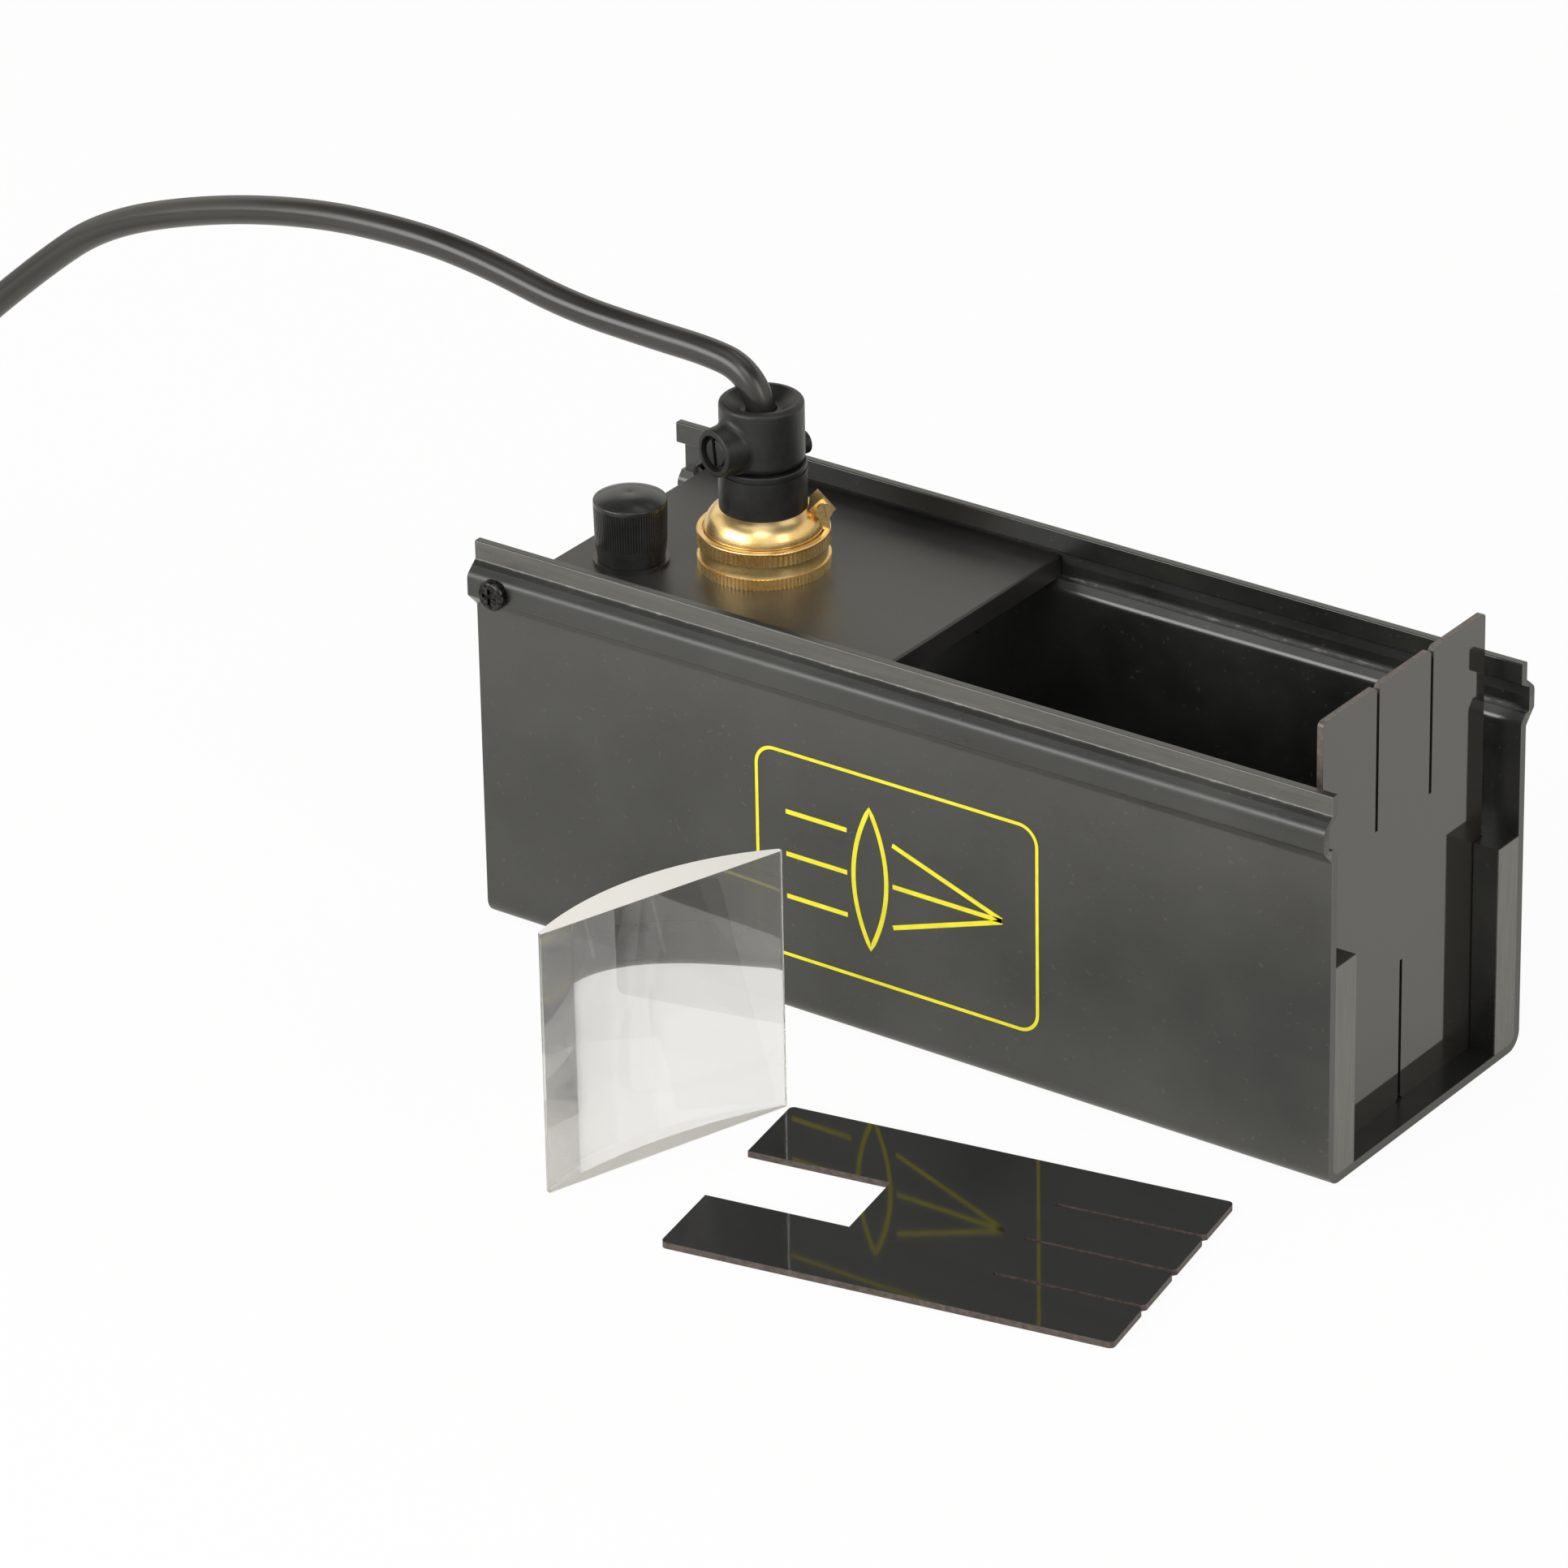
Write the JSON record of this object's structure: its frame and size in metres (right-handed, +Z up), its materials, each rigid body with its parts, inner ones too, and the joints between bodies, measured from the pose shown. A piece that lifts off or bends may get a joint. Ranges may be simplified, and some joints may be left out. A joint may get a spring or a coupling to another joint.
{
  "type": "optics ray box",
  "caption": "Black channel-shaped optics ray box with a sliding lamp carriage, bayonet lampholder, corded lead, slit plates that drop into guides and a loose cylindrical lens.",
  "frame": {"origin": "centre of the housing's underside, on the table", "axes": "+X along the housing towards the open end that the light leaves by, +Y towards the far wall, +Z up"},
  "size_m": [0.5, 0.2212, 0.1414],
  "materials": {
    "black_plastic": "satin black",
    "black_phenolic": "satin black, moulded",
    "black_gloss": "glossy black",
    "black_acrylic": "polished black sheet",
    "clear_acrylic": "clear, polished",
    "black_screw": "blackened",
    "brass": "polished",
    "steel": "plain",
    "glass": "clear",
    "tungsten": "plain wire",
    "cord_sheath": "satin black"
  },
  "bodies": {
    "housing": {"channel_housing": "black_plastic", "front_guide_near": "black_plastic", "front_guide_far": "black_plastic", "lens_guide_near": "black_plastic", "lens_guide_far": "black_plastic", "stop_screw_near": "black_screw", "stop_screw_far": "black_screw"},
    "lamp_carriage": {"lamp_platform": "black_plastic", "lampholder_barrel": "brass", "shade_ring_lower": "brass", "shade_ring_upper": "brass", "lampholder_dome": "brass", "earth_terminal": "brass", "earth_screw": "brass", "insulator_core": "black_phenolic", "terminal_screw_near": "brass", "terminal_screw_far": "brass", "cord_grip_collar": "black_phenolic", "cord_grip_body": "black_phenolic", "cord_grip_screw": "black_phenolic", "knob_washer": "black_screw", "stud_nut": "steel", "lead_cord": "cord_sheath", "lead_coil": "cord_sheath", "plug_strain_relief": "cord_sheath", "plug_body": "cord_sheath", "plug_pin_near": "brass", "plug_pin_far": "brass"},
    "lamp": {"lamp_cap": "brass", "lamp_glass": "glass", "lamp_filament": "tungsten", "lamp_contact_near": "brass", "lamp_contact_far": "brass"},
    "contact_plungers": {"contact_plunger_near": "brass", "contact_plunger_far": "brass"},
    "clamp_knob_body": {"clamp_knob": "black_gloss", "knob_stud": "steel"},
    "front_plate": {"front_slit_plate": "black_acrylic"},
    "spare_plate": {"spare_slit_plate": "black_acrylic"},
    "lens": {"cylindrical_lens": "clear_acrylic"}
  },
  "joints": [
    {"name": "lamp_slide", "type": "slide", "parent": "housing", "child": "lamp_carriage", "axis": [1, 0, 0], "range_m": [-0.0016, 0.108]},
    {"name": "lamp_push", "type": "slide", "parent": "lamp_carriage", "child": "lamp", "axis": [0, 0, 1], "range_m": [0, 0.0015], "stiffness_N_per_m": 500, "springref_m": -0.003},
    {"name": "plunger_push", "type": "slide", "parent": "lamp_carriage", "child": "contact_plungers", "axis": [0, 0, 1], "range_m": [0, 0.0015]},
    {"name": "knob_turn", "type": "hinge", "parent": "lamp_carriage", "child": "clamp_knob_body", "pos_m": [-0.0831, -0.015, 0.0843], "axis": [0, 0, 1], "range_deg": [0, 360]},
    {"name": "front_plate_lift", "type": "slide", "parent": "housing", "child": "front_plate", "axis": [0, 0, 1], "range_m": [0, 0.105]},
    {"name": "spare_plate_lift", "type": "slide", "parent": "housing", "child": "spare_plate", "axis": [0, 0, 1], "range_m": [0, 0.06]},
    {"name": "lens_lift", "type": "slide", "parent": "housing", "child": "lens", "axis": [0, 0, 1], "range_m": [0, 0.06]}
  ],
  "couplings": [
    {"joint": "plunger_push", "follows": "lamp_push", "ratio": 1}
  ]
}
